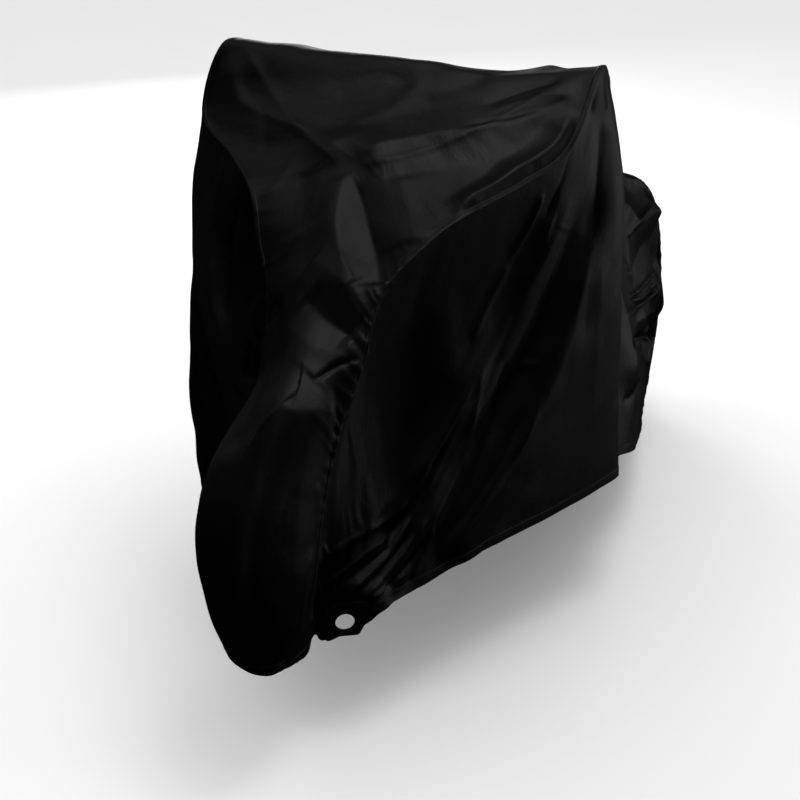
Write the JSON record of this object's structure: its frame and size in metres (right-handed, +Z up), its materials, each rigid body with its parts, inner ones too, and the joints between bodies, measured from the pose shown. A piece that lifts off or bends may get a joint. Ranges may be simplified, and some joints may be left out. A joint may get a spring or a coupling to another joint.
{
  "type": "bicycle cover",
  "caption": "Fitted rain cover for a bicycle in thin black coated cloth, draped as over a parked bicycle, with a lock tab and eyelet ring in each side's front hem.",
  "frame": {"origin": "under the top strip where the middle of the handlebar carries the cover, 1.059 m above the floor under the front axle", "axes": "+Z up, -Y the way the bicycle faces, +Y towards its rear, +X its rider's left"},
  "size_m": [0.7666, 1.7929, 1.0008],
  "materials": {
    "coated_cloth": "black woven polyester with a waterproof coating, a soft sheen on its folds",
    "eyelet_plastic": "black moulded plastic, smooth and slightly glossy"
  },
  "bodies": {
    "root": {"top_strip": "coated_cloth", "left_panel": "coated_cloth", "right_panel": "coated_cloth", "left_lock_tab": "coated_cloth", "right_lock_tab": "coated_cloth", "left_eyelet_ring": "eyelet_plastic", "right_eyelet_ring": "eyelet_plastic"}
  },
  "joints": []
}
